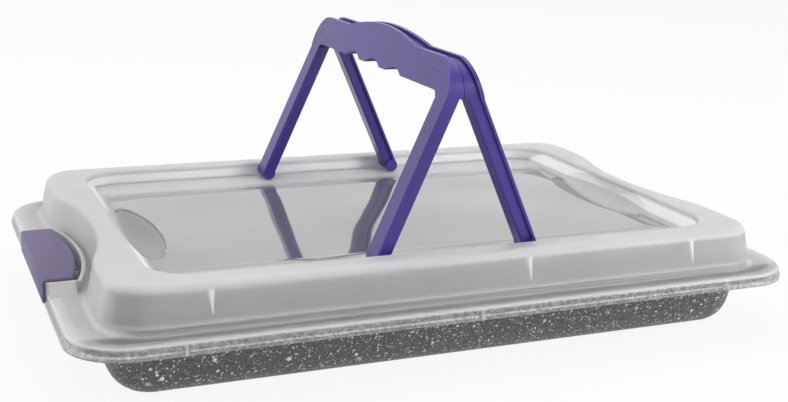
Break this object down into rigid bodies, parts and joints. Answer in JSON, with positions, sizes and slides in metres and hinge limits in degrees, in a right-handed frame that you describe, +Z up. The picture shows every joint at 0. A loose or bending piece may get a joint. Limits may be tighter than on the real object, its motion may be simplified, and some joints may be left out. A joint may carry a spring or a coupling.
{
  "type": "cake pan with lid",
  "caption": "Rectangular speckled cake pan with silicone end grips, a translucent domed carrying lid and folding handle bails.",
  "frame": {"origin": "centre of the pan's flat base, on the surface it stands on", "axes": "+X along the pan towards the right end grip, +Y across it away from the front, +Z up"},
  "size_m": [0.432, 0.2938, 0.1756],
  "materials": {
    "pan_coating": "satin non-stick coating with pale specks",
    "silicone": "matte",
    "clear_plastic": "milky translucent",
    "bail_plastic": "semi-gloss"
  },
  "bodies": {
    "pan_and_lid": {"pan": "pan_coating", "left_grip": "silicone", "right_grip": "silicone", "lid": "clear_plastic"},
    "left_bail": {"left_bail": "bail_plastic"},
    "right_bail": {"right_bail": "bail_plastic"}
  },
  "joints": [
    {"name": "left_bail_hinge", "type": "hinge", "parent": "pan_and_lid", "child": "left_bail", "pos_m": [-0.0458, 0, 0.06048], "axis": [0, -1, 0], "range_deg": [0, 112]},
    {"name": "right_bail_hinge", "type": "hinge", "parent": "pan_and_lid", "child": "right_bail", "pos_m": [0.0458, 0, 0.06048], "axis": [0, 1, 0], "range_deg": [0, 112]}
  ]
}
